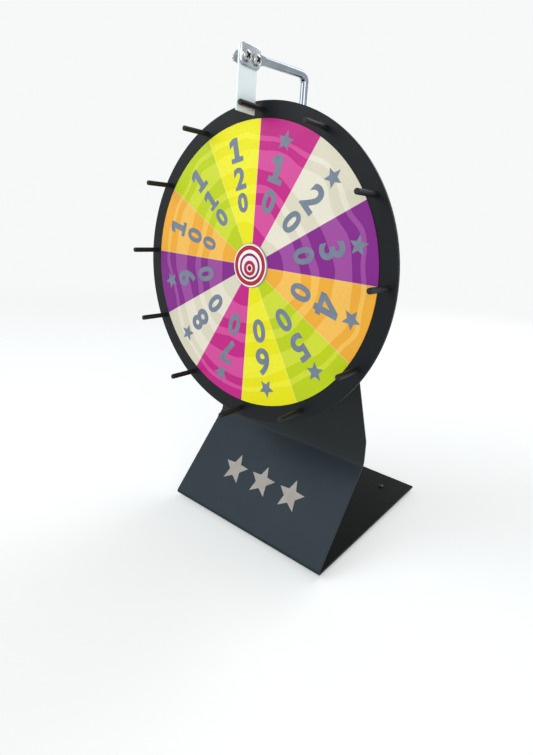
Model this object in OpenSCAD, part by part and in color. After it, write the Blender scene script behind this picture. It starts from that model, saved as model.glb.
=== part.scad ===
// Tabletop prize wheel: a round board with pegs that spins on a bolt axle in
// front of a bent sheet stand, with a flexible flapper that rides over the pegs.
// Millimetres, +Z up, the wheel faces -Y. The origin is on the table, at the
// middle of the whole object's footprint box.

/* [Wheel] */
// Outer diameter of the wheel board
wheel_d = 300; // [260:1:400]
// Width of the bare ring between the dial face and the rim
ring_w = 16; // [12:0.5:30]
// Thickness of the wheel board
board_t = 4; // [3:0.5:8]
// Chamfer round both edges of the rim
rim_chamfer = 0.8; // [0.2:0.1:1.2]
// Thickness of the printed dial face
dial_t = 0.8; // [0.4:0.1:1.5]

/* [Pegs] */
// Number of pegs, one at each sector boundary
peg_count = 12; // [6:1:18]
// Diameter of a peg
peg_d = 5; // [4.5:0.5:8]
// Length of a peg in front of the board
peg_len = 30; // [20:1:45]
// Rounding at a peg's tip
peg_tip_r = 1.2; // [0.4:0.1:2]
// Thread diameter of the screw that holds a peg
peg_screw_d = 3; // [2:0.5:3]
// Length of the screw thread inside a peg
peg_screw_grip = 8; // [5:0.5:14]

/* [Hub] */
// Diameter of the hub's mounting flange
hub_flange_d = 70; // [60:1:100]
// Thickness of the hub's mounting flange
hub_flange_t = 4; // [3:0.5:8]
// Diameter of the hub's barrel
hub_barrel_d = 32; // [28:0.5:40]
// Length of the hub, flange and barrel together
hub_len = 32; // [28:1:44]
// Chamfer on the hub's outer edges
hub_chamfer = 0.8; // [0.2:0.1:1.5]
// Size of the slanted web between the hub's flange and barrel
hub_web = 3; // [1:0.5:4]
// Depth of the front bearing behind the hub's front face
front_bearing_in = 6; // [6:0.5:9]
// Depth of the rear bearing inside the hub's rear end
rear_bearing_in = 2; // [0.5:0.5:4]
// Number of screws through the board into the flange
hub_screw_count = 4; // [3:1:8]
// Thread diameter of the flange screws
hub_screw_d = 4; // [3:0.5:5]
// Diameter of the round cap over the axle
cap_d = 42; // [34:1:60]
// Thickness of the cap in front of the dial face
cap_t = 1.6; // [1.2:0.1:4]
// Diameter of the cap's hollow spigot in the board
cap_spigot_d = 25; // [23:0.5:30]
// Wall of the cap's hollow spigot
cap_spigot_wall = 2; // [1.2:0.1:3]
// Distance of the spigot's end from the hub
cap_spigot_short = 0.5; // [0.3:0.1:2]

/* [Bearings and axle] */
// Diameter of the axle bolt and of the bearing bore
axle_d = 8; // [7:0.5:9]
// Outer diameter of a ball bearing
bearing_d = 22; // [21:0.5:24]
// Width of a ball bearing
bearing_w = 7; // [6:0.5:8]
// Diameter of a bearing ball
ball_d = 4; // [3:0.1:4.2]
// Number of balls in a bearing
ball_count = 7; // [5:1:8]
// Wall of the spacer tubes round the axle
spacer_wall = 1.8; // [1:0.1:2.2]
// Width across the flats of the axle's nut and bolt head
axle_hex = 13; // [12:0.5:15]
// Height of the axle nut
axle_nut_h = 6.5; // [4:0.5:7]
// Height of the axle bolt's head
axle_head_h = 5.5; // [4:0.5:8]
// Diameter of the axle washers
axle_washer_d = 16; // [14:0.5:18]
// Thickness of the axle washers
axle_washer_t = 1.6; // [1:0.1:2]
// Length of the axle bolt's end past its nut
axle_over = 0.5; // [0.2:0.1:1]

/* [Stand] */
// Width of the base and of the slanted panel
base_w = 200; // [160:1:300]
// Depth of the base, from its front bend to its rear edge
base_d = 213; // [170:1:300]
// Thickness of the bent sheet
sheet_t = 2; // [1.5:0.25:4]
// Height of the wheel's lowest point above the table
wheel_clear = 132; // [110:1:200]
// Distance of the front bend behind the wheel's face
front_set = 6.5; // [6:0.5:25]
// Distance of the upright behind the wheel's face
upright_set = 74.5; // [70:0.5:110]
// Height of the fold between panel and upright above the base's underside
fold_h = 86; // [70:1:120]
// Inner radius of the front bend
front_bend_in = 1; // [0.5:0.25:5]
// Front radius of the fold between panel and upright
fold_r = 12; // [8:1:40]
// Height above the fold at which the upright's sides begin to taper
taper_lift = 23; // [8:1:60]
// Width of the upright at its top
top_w = 76; // [60:1:120]
// Height of the upright's top above the axle
top_rise = 100; // [92:1:125]
// Radius of the upright's top corners
top_corner_r = 14; // [4:1:25]
// Radius of the base's rear corners
rear_corner_r = 1.5; // [0.5:0.5:12]

/* [Feet] */
// Diameter of a foot at the table
foot_d = 15; // [12:0.5:24]
// Height of a foot
foot_h = 4; // [4:0.5:10]
// How much wider a foot is where it meets the base
foot_flare = 2; // [0:0.5:4]
// Chamfer round a foot's lower edge
foot_chamfer = 0.6; // [0.2:0.1:1.5]
// Distance of a foot's centre from the base's sides and ends
foot_inset = 30; // [22:1:45]
// Thread diameter of a foot's screw
foot_screw_d = 3; // [2:0.5:4]
// Length of the screw thread inside a foot
foot_screw_grip = 3; // [2:0.5:3]

/* [Flapper arm] */
// Diameter of the bent rod
rod_d = 8; // [6:0.5:10]
// Distance of the upright part of the rod before the stand's upright
rod_off = 11.5; // [10:0.5:30]
// Height of the rod's axis above the wheel's rim, at the flattened end
rod_rise = 32.5; // [28:0.5:60]
// How steeply the rod climbs from its flattened end to its bend, in degrees
rod_slope = 4.5; // [0:0.5:10]
// Centre line radius of the rod's bend
rod_bend_r = 8; // [6:0.5:25]
// Height of the flattened rod end
plate_h = 18.5; // [16:0.5:28]
// Thickness of the flattened rod end
plate_t = 3; // [2:0.25:5]
// Corner radius of the flattened rod end
plate_corner_r = 3.5; // [1:0.5:6]
// Distance of the flattened end's front edge before the wheel's face
plate_reach = 29.5; // [26:0.5:36]
// How far the flattened end's middle lies below the rod's axis
plate_drop = 0.5; // [0:0.25:3]
// Length of the neck between round rod and flat end
neck_len = 5; // [3:0.5:10]
// Height of the neck where it meets the flat end
neck_h = 11; // [8:0.5:14]
// How far the neck's flats stand in from the plate's faces, and out from the round rod
neck_step = 0.35; // [0.25:0.05:0.6]
// Width of the block that holds the rod
block_w = 26; // [20:0.5:40]
// Height of the block
block_h = 38; // [30:1:60]
// Distance of the block's top below the upright's top
block_in = 3; // [0:0.5:10]
// Wall of the block in front of the rod's hole
block_wall = 5; // [4:0.5:10]
// Wall of the block between the rod's hole and the screw tips
block_back_wall = 2.5; // [1.5:0.5:4]
// Thickness of the block below the rod's hole
block_floor = 5; // [2:0.5:15]
// Chamfer on the block's front edges
block_chamfer = 1.5; // [0.5:0.25:3]
// Thread diameter of the two screws that hold the block
block_screw_d = 5; // [4:0.5:6]
// Distance between the two block screws
block_screw_gap = 22; // [16:0.5:24]
// Thread diameter of the set screw that clamps the rod
set_screw_d = 5; // [4:0.5:6]

/* [Flapper] */
// How much narrower the flapper strip is than the flattened rod end
flap_narrow = 0.5; // [0:0.25:2]
// Thickness of the flapper strip
flap_t = 2; // [1.6:0.1:3]
// How far the strip's tip reaches below the peg circle
flap_overlap = 6.5; // [4:0.5:12]
// Distance of the strip's top edge below the top of the clamp plate
flap_top_in = 2; // [0:0.5:3]
// Distance of the strip's bending line below the clamp plate
flap_bend_drop = 1; // [1:0.25:4]
// Thread diameter of the clamp screws
clamp_screw_d = 6; // [5:0.5:6]
// Distance of the clamp screws below the middle of the flat end
clamp_drop = 1.4; // [0:0.1:2]
// Space between the heads of the two clamp screws
clamp_head_space = 2.5; // [0.5:0.25:3]
// Rim of the flat end round the clamp screw heads
clamp_rim = 0.25; // [0.25:0.25:3]
// Diameter of a clamp screw's round head
clamp_head_d = 10.5; // [9:0.5:12]
// Height of a clamp screw's round head
clamp_head_h = 3; // [2.5:0.25:5]
// Width across the flats of a clamp nut
clamp_nut_hex = 10; // [8:0.5:10]
// Height of a clamp nut
clamp_nut_h = 5; // [3:0.25:7]
// Length of a clamp screw's end past its nut
clamp_screw_over = 4; // [0.5:0.25:5]

/* [Clearances] */
// Radial clearance of a bearing ring on its shaft or in its seat
seat_gap = 0.02; // [0.01:0.01:0.08]
// Radial clearance of a screw in a plain hole
screw_gap = 0.2; // [0.1:0.05:0.4]
// Radial clearance of a screw in its thread
thread_gap = 0.05; // [0.02:0.01:0.1]
// Clearance between a bearing ball and what guides it
ball_gap = 0.08; // [0.04:0.02:0.2]
// Gap between the flapper and the peg that rests beside it
peg_gap = 0.9; // [0.2:0.1:1.5]
// Gap between the flapper's fixed root and its moving blade
bend_gap = 0.3; // [0.2:0.1:0.6]

/* [Hidden] */
$fn = 96;
cut = 0.5;
slice = 0.1;

// Points of an arc round c, from one angle to another, about every arc_step degrees
arc_step = 4;
function arc(c, r, from, to) = let (n = ceil(abs(to - from) / arc_step))
  [for (i = [0 : n]) c + r * [cos(from + (to - from) * i / n), sin(from + (to - from) * i / n)]];
// The same points on the other side of X = 0, in reverse order
function mirrored(points) = [for (i = [len(points) - 1 : -1 : 0]) [-points[i][0], points[i][1]]];

function two_digits(i) = str(i < 10 ? "0" : "", i);
function peg_name(i) = str("peg_", two_digits(i));
FEET = ["front_left_foot", "front_right_foot", "rear_left_foot", "rear_right_foot"];
STAND_NODES = [
  "stand_sheet", "foot_screws", "axle_bolt", "axle_washers", "axle_nut", "axle_spacer", "race_spacer",
  "front_inner_race", "rear_inner_race", "arm_block", "arm_block_screws", "arm_set_screw",
  "flapper_arm", "flapper_root", "flapper_screws", "flapper_nuts"
];
WHEEL_NODES = [
  "wheel_board", "dial_face", "hub", "hub_screws", "hub_cap", "front_outer_race", "rear_outer_race",
  "peg_screws"
];
BALL_NODES = ["front_balls", "rear_balls", "front_ball_cage", "rear_ball_cage"];
PEGS = [for (i = [1 : peg_count]) peg_name(i)];

// Heights above the table
base_z = foot_h;
axle_z = wheel_clear + wheel_d / 2;
top_z = axle_z + top_rise;
rod_z = axle_z + wheel_d / 2 + rod_rise;
plate_z = rod_z - plate_drop;
plate_low_z = plate_z - plate_h / 2;

// Distances behind the wheel board's front face
hub_y = board_t;
hub_end_y = hub_y + hub_len;
front_bearing_y = hub_y + front_bearing_in;
rear_bearing_y = hub_end_y - rear_bearing_in - bearing_w;
nut_y = front_bearing_y - axle_washer_t - axle_nut_h;
axle_tip_y = nut_y - axle_over;
upright_back_y = upright_set + sheet_t;
head_y = upright_back_y + axle_washer_t;
base_rear_y = front_set + base_d;
rod_set = upright_set - rod_off;
block_y = rod_set - rod_d / 2 - block_wall;
block_screw_tip_y = rod_set + rod_d / 2 + block_back_wall;
clamp_screw_gap = clamp_head_d + clamp_head_space;
plate_w = clamp_screw_gap + clamp_head_d + 2 * clamp_rim;
plate_back_y = plate_w - plate_reach;
flap_w = plate_w - flap_narrow;

// The footprint box reaches from the frontmost tip to the base's rear edge
front_reach = max(peg_len, plate_reach);
mid_y = (base_rear_y - front_reach) / 2;

// Bent sheet: the panel touches the front bend and meets the upright's front plane at the fold
front_bend_r = front_bend_in + sheet_t;
taper_z = base_z + fold_h + taper_lift;
bend_c = [front_set + front_bend_r, base_z + front_bend_r];
to_fold = [upright_set, base_z + fold_h] - bend_c;
panel_angle = atan2(to_fold[1], to_fold[0]) - asin(front_bend_r / norm(to_fold));
fold_c = [upright_set - fold_r, base_z + fold_h + fold_r * tan((90 - panel_angle) / 2)];

// Bent rod in the side view: the straight runs meet at rod_corner_z and the bend starts bend_len before it
rod_run = rod_set - plate_back_y;
rod_corner_z = rod_z + rod_run * tan(rod_slope);
bend_len = rod_bend_r * tan(45 + rod_slope / 2);
rod_step = 0.05;

// Wheel: pegs stand in the middle of the bare ring
dial_d = wheel_d - 2 * ring_w;
peg_circle_r = (wheel_d - ring_w) / 2;
hub_screw_hole_d = hub_screw_d + 2 * screw_gap;
hub_screw_circle_r = (hub_flange_d + hub_barrel_d) / 4;

// Flapper: the strip lies against the flat rod end, and a peg rests beside it
flap_x = -plate_t / 2 - flap_t / 2;
flap_low_z = axle_z + peg_circle_r - flap_overlap;
flap_bend_z = plate_low_z - flap_bend_drop;
flap_top_z = plate_z + plate_h / 2 - flap_top_in;
clamp_y = -plate_reach + clamp_rim + clamp_head_d / 2;
rest_peg_x = -plate_t / 2 + peg_gap + peg_d / 2;
rest_turn = asin(rest_peg_x / peg_circle_r);

// Spacer tubes round the axle
spacer_r = axle_d / 2 + screw_gap + spacer_wall;

// Bearing rings with a groove for the balls
ball_circle_r = (axle_d + bearing_d) / 4;
groove_r = ball_d / 2 + ball_gap;
groove_depth = 0.6;
inner_ring_r = ball_circle_r - groove_r + groove_depth;
outer_ring_r = ball_circle_r + groove_r - groove_depth;

// Feet in the order of their names, under the corners of the base
function foot_place(i) = [
  (i % 2 == 0 ? -1 : 1) * (base_w / 2 - foot_inset),
  i < 2 ? front_set + foot_inset : base_rear_y - foot_inset,
  0
];

// Proportions of small screw heads and countersinks
function pan_d(d) = 1.9 * d;
function pan_h(d) = 0.65 * d;
function sunk_d(d) = 2 * d;
function sunk_h(d) = (sunk_d(d) - d) / 2;

// Moves the wheel-face frame so that the origin is the middle of the footprint
module in_place() {
  translate([0, -mid_y, 0]) children();
}

// Drawn about the axle, with the wheel at the angle where it stops
module on_axle() {
  in_place() translate([0, 0, axle_z]) children();
}

module on_wheel() {
  on_axle() rotate([0, rest_turn, 0]) children();
}

// Turns a shape drawn along +Z so that it runs along +Y from y
module along_y(y = 0) {
  translate([0, y, 0]) rotate([-90, 0, 0]) children();
}

// Turns a shape drawn along +Z so that it runs along +X from x
module along_x(x = 0) {
  translate([x, 0, 0]) rotate([0, 90, 0]) children();
}

// Turns a drawing in X and Y into the YZ plane, extruded along X
module side_view() {
  rotate([90, 0, 90]) children();
}

module tube(r_out, r_in, h) {
  difference() {
    cylinder(r = r_out, h = h);
    translate([0, 0, -cut]) cylinder(r = r_in, h = h + 2 * cut);
  }
}

module hex(flats, h) {
  cylinder(d = flats / cos(30), h = h, $fn = 6);
}

// Hexagon of a nut or a bolt head, its corners turned off at both ends
module turned_hex(flats, h) {
  inner = 0.475 * flats;
  outer = 0.6 * flats;
  drop = (outer - inner) * tan(30);
  intersection() {
    hex(flats, h);
    rotate_extrude() polygon([[0, 0], [inner, 0], [outer, drop], [outer, h - drop], [inner, h], [0, h]]);
  }
}

// Domed head that rises from z = 0, as a slice of a ball
module dome(d, h) {
  ball_r = (d * d / 4 + h * h) / (2 * h);
  intersection() {
    translate([0, 0, h - ball_r]) sphere(r = ball_r);
    cylinder(d = d, h = h);
  }
}

// Round-head screw: head above z = 0, thread below it
module pan_screw(d, len) {
  dome(pan_d(d), pan_h(d));
  translate([0, 0, -len]) cylinder(d = d, h = len + slice);
}

// Bent sheet in the side view: along the underside and the front, then back along the inside
module sheet_profile() {
  polygon(concat(
    [[base_rear_y, base_z]],
    arc(bend_c, front_bend_r, 270, 90 + panel_angle),
    arc(fold_c, fold_r, panel_angle - 90, 0),
    [[upright_set, top_z], [upright_back_y, top_z]],
    arc(fold_c, fold_r + sheet_t, 0, panel_angle - 90),
    arc(bend_c, front_bend_r - sheet_t, 90 + panel_angle, 270),
    [[base_rear_y, base_z + sheet_t]]
  ));
}

// Front view of the sheet: straight up past the fold, then tapered, with round top corners
module sheet_front() {
  lean = atan2((base_w - top_w) / 2, top_z - taper_z);
  corner = [top_w / 2 - top_corner_r * tan((90 - lean) / 2), top_z - top_corner_r];
  right = concat([[base_w / 2, 0], [base_w / 2, taper_z]], arc(corner, top_corner_r, lean, 90));
  polygon(concat(right, mirrored(right)));
}

// Plan of the sheet: square at the front, with round rear corners
module sheet_plan() {
  corner = [base_w / 2 - rear_corner_r, base_rear_y - rear_corner_r];
  right = concat([[base_w / 2, 0]], arc(corner, rear_corner_r, 0, 90));
  polygon(concat(right, mirrored(right)));
}

module at_feet() {
  for (i = [0 : len(FEET) - 1])
    translate(foot_place(i)) children();
}

module at_block_screws() {
  block_mid_z = top_z - block_in - block_h / 2;
  for (side = [-1, 1])
    translate([0, 0, block_mid_z + side * block_screw_gap / 2]) children();
}

module at_hub_screws() {
  for (i = [0 : hub_screw_count - 1])
    rotate([0, (i + 0.5) * 360 / hub_screw_count, 0]) translate([hub_screw_circle_r, 0, 0]) children();
}

// Peg 1 is at the top, and the count goes clockwise as seen from the front
module at_peg(i) {
  rotate([0, (i - 1) * 360 / peg_count, 0]) translate([0, 0, peg_circle_r]) children();
}

module at_clamp_screws() {
  for (i = [0, 1])
    translate([0, clamp_y + i * clamp_screw_gap, plate_z - clamp_drop]) children();
}

module stand_sheet() {
  color([0.13, 0.15, 0.17]) in_place() difference() {
    intersection() {
      side_view() linear_extrude(base_w, center = true) sheet_profile();
      translate([0, base_rear_y, 0]) rotate([90, 0, 0]) linear_extrude(base_rear_y) sheet_front();
      linear_extrude(top_z) sheet_plan();
    }
    translate([0, 0, axle_z]) along_y(upright_set - cut)
      cylinder(d = axle_d + 2 * screw_gap, h = sheet_t + 2 * cut);
    at_block_screws() along_y(upright_set - cut)
      cylinder(d = block_screw_d + 2 * screw_gap, h = sheet_t + 2 * cut);
    at_feet() translate([0, 0, base_z - cut])
      cylinder(d = foot_screw_d + 2 * screw_gap, h = sheet_t + 2 * cut);
  }
}

module foot(i) {
  color([0.08, 0.08, 0.08]) in_place() translate(foot_place(i)) difference() {
    rotate_extrude() polygon([
      [0, 0], [foot_d / 2 - foot_chamfer, 0], [foot_d / 2, foot_chamfer],
      [(foot_d + foot_flare) / 2, foot_h], [0, foot_h]
    ]);
    translate([0, 0, foot_h - foot_screw_grip - cut])
      cylinder(d = foot_screw_d + 2 * thread_gap, h = foot_screw_grip + 2 * cut);
  }
}

module foot_screws() {
  color([0.62, 0.64, 0.64]) in_place() at_feet() translate([0, 0, base_z + sheet_t])
    pan_screw(foot_screw_d, sheet_t + foot_screw_grip);
}

module axle_bolt() {
  color([0.7, 0.71, 0.72]) on_axle() {
    along_y(axle_tip_y) cylinder(d = axle_d, h = head_y - axle_tip_y + slice);
    along_y(head_y) turned_hex(axle_hex, axle_head_h);
  }
}

// The front washer is as narrow as the spacers, so that it bears on the inner ring alone
module axle_washers() {
  color([0.68, 0.69, 0.7]) on_axle() {
    along_y(front_bearing_y - axle_washer_t) tube(spacer_r, axle_d / 2 + screw_gap, axle_washer_t);
    along_y(upright_back_y) tube(axle_washer_d / 2, axle_d / 2 + screw_gap, axle_washer_t);
  }
}

module axle_nut() {
  color([0.66, 0.67, 0.68]) on_axle() along_y(nut_y) difference() {
    turned_hex(axle_hex, axle_nut_h);
    translate([0, 0, -cut]) cylinder(d = axle_d + 2 * thread_gap, h = axle_nut_h + 2 * cut);
  }
}

// Spacer tube on the axle between the faces at y = from and y = to
module spacer(from, to) {
  color([0.6, 0.61, 0.63]) on_axle() along_y(from)
    tube(spacer_r, axle_d / 2 + screw_gap, to - from);
}

module axle_spacer() {
  spacer(rear_bearing_y + bearing_w, upright_set);
}

module race_spacer() {
  spacer(front_bearing_y + bearing_w, rear_bearing_y);
}

module ball_groove() {
  rotate_extrude() translate([ball_circle_r, bearing_w / 2]) circle(r = groove_r);
}

module inner_race(y) {
  color([0.75, 0.76, 0.78]) on_axle() along_y(y) difference() {
    tube(inner_ring_r, axle_d / 2 + seat_gap, bearing_w);
    ball_groove();
  }
}

module outer_race(y) {
  color([0.72, 0.73, 0.75]) on_wheel() along_y(y) difference() {
    tube(bearing_d / 2, outer_ring_r, bearing_w);
    ball_groove();
  }
}

module at_balls() {
  for (i = [0 : ball_count - 1])
    rotate([0, 0, i * 360 / ball_count]) translate([ball_circle_r, 0, bearing_w / 2]) children();
}

module balls(y) {
  color([0.85, 0.86, 0.88]) on_axle() along_y(y) at_balls() sphere(d = ball_d);
}

// Crown cage: a ring on one side of the balls with a round pocket for each
module ball_cage(y) {
  half = min(ball_circle_r - inner_ring_r, outer_ring_r - ball_circle_r) / 2;
  color([0.78, 0.62, 0.3]) on_axle() along_y(y) difference() {
    translate([0, 0, bearing_w / 2]) tube(ball_circle_r + half, ball_circle_r - half, bearing_w / 2 - cut);
    at_balls() sphere(r = groove_r);
  }
}

module wheel_board() {
  r = wheel_d / 2;
  color([0.15, 0.16, 0.17]) on_wheel() difference() {
    along_y() rotate_extrude() polygon([
      [cap_spigot_d / 2 + thread_gap, 0], [r - rim_chamfer, 0], [r, rim_chamfer],
      [r, board_t - rim_chamfer], [r - rim_chamfer, board_t], [cap_spigot_d / 2 + thread_gap, board_t]
    ]);
    at_hub_screws() along_y(-cut) cylinder(d = hub_screw_hole_d, h = board_t + 2 * cut);
    at_hub_screws() along_y()
      cylinder(d1 = sunk_d(hub_screw_d) + 2 * screw_gap, d2 = hub_screw_hole_d, h = sunk_h(hub_screw_d));
    for (i = [1 : peg_count])
      at_peg(i) along_y(-cut) cylinder(d = peg_screw_d + 2 * screw_gap, h = board_t + 2 * cut);
  }
}

module dial_face() {
  color([0.85, 0.8, 0.2]) on_wheel() along_y(-dial_t) tube(dial_d / 2, cap_spigot_d / 2 + screw_gap, dial_t);
}

module hub() {
  seat_r = bearing_d / 2 + seat_gap;
  shoulder_r = (outer_ring_r + bearing_d / 2) / 2;
  front_depth = front_bearing_in + bearing_w;
  rear_depth = rear_bearing_in + bearing_w;
  color([0.7, 0.71, 0.73]) on_wheel() difference() {
    along_y(hub_y) rotate_extrude() polygon([
      [seat_r, 0], [hub_flange_d / 2, 0], [hub_flange_d / 2, hub_flange_t - hub_chamfer],
      [hub_flange_d / 2 - hub_chamfer, hub_flange_t], [hub_barrel_d / 2 + hub_web, hub_flange_t],
      [hub_barrel_d / 2, hub_flange_t + hub_web], [hub_barrel_d / 2, hub_len - hub_chamfer],
      [hub_barrel_d / 2 - hub_chamfer, hub_len], [seat_r, hub_len], [seat_r, hub_len - rear_depth],
      [shoulder_r, hub_len - rear_depth], [shoulder_r, front_depth], [seat_r, front_depth]
    ]);
    at_hub_screws() along_y(hub_y - cut)
      cylinder(d = hub_screw_d + 2 * thread_gap, h = hub_flange_t + 2 * cut);
  }
}

module hub_screws() {
  color([0.6, 0.61, 0.62]) on_wheel() at_hub_screws() along_y() {
    cylinder(d1 = sunk_d(hub_screw_d), d2 = hub_screw_d, h = sunk_h(hub_screw_d));
    cylinder(d = hub_screw_d, h = board_t + hub_flange_t);
  }
}

// Thin round cap with an eased front edge and a hollow spigot that holds it in the board
module hub_cap() {
  ease = cap_t / 2;
  spigot_len = dial_t + board_t - cap_spigot_short;
  color([0.85, 0.2, 0.25]) on_wheel() {
    along_y(-dial_t - cap_t) rotate_extrude() polygon([
      [0, 0], [cap_d / 2 - ease, 0], [cap_d / 2, ease], [cap_d / 2, cap_t], [0, cap_t]
    ]);
    along_y(-dial_t - slice)
      tube(cap_spigot_d / 2, cap_spigot_d / 2 - cap_spigot_wall, spigot_len + slice);
  }
}

// Peg with a rounded tip and a threaded hole in its rear end
module peg(i) {
  color([0.1, 0.1, 0.11]) on_wheel() at_peg(i) along_y(-peg_len) difference() {
    rotate_extrude() {
      translate([0, peg_tip_r]) square([peg_d / 2, peg_len - peg_tip_r]);
      square([peg_d / 2 - peg_tip_r, peg_tip_r + slice]);
      intersection() {
        translate([peg_d / 2 - peg_tip_r, peg_tip_r]) circle(r = peg_tip_r);
        square([peg_d, peg_len]);
      }
    }
    translate([0, 0, peg_len - peg_screw_grip - cut])
      cylinder(d = peg_screw_d + 2 * thread_gap, h = peg_screw_grip + 2 * cut);
  }
}

module peg_screws() {
  color([0.55, 0.56, 0.57]) on_wheel()
    for (i = [1 : peg_count])
      at_peg(i) along_y(board_t) pan_screw(peg_screw_d, board_t + peg_screw_grip);
}

module arm_block() {
  low_z = top_z - block_in - block_h;
  half = block_w / 2;
  ease_y = block_y + block_chamfer;
  color([0.2, 0.21, 0.22]) in_place() difference() {
    translate([0, 0, low_z]) linear_extrude(block_h) polygon([
      [-half, upright_set], [-half, ease_y], [-half + block_chamfer, block_y],
      [half - block_chamfer, block_y], [half, ease_y], [half, upright_set]
    ]);
    translate([0, rod_set, low_z + block_floor])
      cylinder(d = rod_d + 2 * seat_gap, h = block_h - block_floor + cut);
    at_block_screws() along_y(block_screw_tip_y - cut)
      cylinder(d = block_screw_d + 2 * thread_gap, h = upright_set - block_screw_tip_y + 2 * cut);
    translate([0, 0, low_z + block_h / 2]) along_y(block_y - cut)
      cylinder(d = set_screw_d + 2 * thread_gap, h = rod_set - block_y);
  }
}

module arm_block_screws() {
  color([0.6, 0.61, 0.62]) in_place() at_block_screws() along_y(upright_back_y)
    pan_screw(block_screw_d, upright_back_y - block_screw_tip_y);
}

module arm_set_screw() {
  tip_y = rod_set - rod_d / 2 - seat_gap;
  color([0.3, 0.3, 0.32]) in_place() translate([0, 0, top_z - block_in - block_h / 2]) along_y(block_y)
    difference() {
      cylinder(d = set_screw_d, h = tip_y - block_y);
      translate([0, 0, -cut]) hex(set_screw_d / 2, set_screw_d / 2 + cut);
    }
}

// Bent rod with one flattened end: up from the block, forward over the wheel, flat to the clamp screws
module flapper_arm() {
  foot_z = top_z - block_in - block_h + block_floor;
  bend_z = rod_corner_z - bend_len;
  color([0.82, 0.84, 0.86]) in_place() {
    translate([0, rod_set, foot_z]) cylinder(d = rod_d, h = bend_z - foot_z);
    translate([0, rod_set - rod_bend_r, bend_z]) side_view()
      rotate_extrude(angle = 90 + rod_slope) translate([rod_bend_r, 0]) circle(d = rod_d);
    at_rod_end() along_y(neck_len)
      cylinder(d = rod_d - 2 * rod_step, h = rod_run / cos(rod_slope) - bend_len - neck_len + slice);
    at_rod_end() rod_neck();
    clamp_plate();
  }
}

// Where the rod leaves its flattened end, with +Y along the rod's climb
module at_rod_end() {
  translate([0, plate_back_y, rod_z]) rotate([rod_slope, 0, 0]) children();
}

// The rod is pressed from round to flat: a cone that widens upright, cut by two slanted flats
module rod_neck() {
  into = slice + neck_h / 2 * sin(rod_slope);
  end_y = neck_len + slice;
  narrow = plate_t / 2 - neck_step;
  wide = rod_d / 2 + neck_step;
  start = narrow - (wide - narrow) * into / end_y;
  intersection() {
    along_y(-into) cylinder(d1 = neck_at(-into), d2 = neck_at(end_y), h = into + end_y);
    translate([0, 0, -neck_h]) linear_extrude(2 * neck_h) polygon([
      [-start, -into], [start, -into], [wide, end_y], [wide, end_y + slice],
      [-wide, end_y + slice], [-wide, end_y]
    ]);
  }
}

// Height of the neck at a distance along it, a hair thinner than the rod where it runs into it
function neck_at(y) = neck_h - (neck_h - rod_d + 4 * rod_step) * y / neck_len;

module clamp_plate() {
  r = plate_corner_r;
  difference() {
    union() {
      translate([-plate_t / 2, -plate_reach + r, plate_low_z]) cube([plate_t, plate_w - 2 * r, plate_h]);
      translate([-plate_t / 2, -plate_reach, plate_low_z + r]) cube([plate_t, plate_w, plate_h - 2 * r]);
      for (y = [-plate_reach + r, plate_back_y - r], z = [plate_low_z + r, plate_low_z + plate_h - r])
        translate([0, y, z]) along_x(-plate_t / 2) cylinder(r = r, h = plate_t);
    }
    at_clamp_screws() along_x(-plate_t / 2 - cut)
      cylinder(d = clamp_screw_d + 2 * screw_gap, h = plate_t + 2 * cut);
  }
}

// Fixed upper end of the flapper strip, clamped between the plate and the nuts
module flapper_root() {
  low_z = flap_bend_z + flap_t / 2 + bend_gap;
  color([0.84, 0.9, 0.92]) in_place() difference() {
    translate([flap_x - flap_t / 2, -plate_reach, low_z]) cube([flap_t, flap_w, flap_top_z - low_z]);
    at_clamp_screws() along_x(flap_x - flap_t / 2 - cut)
      cylinder(d = clamp_screw_d + 2 * screw_gap, h = flap_t + 2 * cut);
  }
}

// Free end of the strip, with a round upper edge on the line where it bends
module flapper_blade() {
  color([0.84, 0.9, 0.92]) in_place() {
    translate([flap_x - flap_t / 2, -plate_reach, flap_low_z])
      cube([flap_t, flap_w, flap_bend_z - flap_low_z]);
    translate([flap_x, 0, flap_bend_z]) along_y(-plate_reach) cylinder(d = flap_t, h = flap_w);
  }
}

// Round heads with a cross recess on the rod's side, threads through plate, strip and nut
module flapper_screws() {
  reach = plate_t + flap_t + clamp_nut_h + clamp_screw_over;
  recess_w = clamp_head_d * 0.13;
  recess_len = clamp_head_d * 0.55;
  color([0.72, 0.73, 0.74]) in_place() at_clamp_screws() along_x(plate_t / 2) difference() {
    union() {
      dome(clamp_head_d, clamp_head_h);
      translate([0, 0, -reach]) cylinder(d = clamp_screw_d, h = reach + slice);
    }
    for (a = [45, 135])
      rotate([0, 0, a]) translate([-recess_len / 2, -recess_w / 2, clamp_head_h / 2])
        cube([recess_len, recess_w, clamp_head_h]);
  }
}

module flapper_nuts() {
  color([0.66, 0.68, 0.7]) in_place() at_clamp_screws() along_x(flap_x - flap_t / 2 - clamp_nut_h)
    difference() {
      turned_hex(clamp_nut_hex, clamp_nut_h);
      translate([0, 0, -cut]) cylinder(d = clamp_screw_d + 2 * thread_gap, h = clamp_nut_h + 2 * cut);
    }
}

stand_sheet();
foot_screws();
for (i = [0 : len(FEET) - 1])
  foot(i);
axle_bolt();
axle_washers();
axle_nut();
axle_spacer();
race_spacer();
inner_race(front_bearing_y);  // front_inner_race
inner_race(rear_bearing_y);  // rear_inner_race
outer_race(front_bearing_y);  // front_outer_race
outer_race(rear_bearing_y);  // rear_outer_race
balls(front_bearing_y);  // front_balls
balls(rear_bearing_y);  // rear_balls
ball_cage(front_bearing_y);  // front_ball_cage
ball_cage(rear_bearing_y);  // rear_ball_cage
wheel_board();
dial_face();
hub();
hub_screws();
hub_cap();
for (i = [1 : peg_count])
  peg(i);
peg_screws();
arm_block();
arm_block_screws();
arm_set_screw();
flapper_arm();
flapper_root();
flapper_blade();
flapper_screws();
flapper_nuts();
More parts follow.
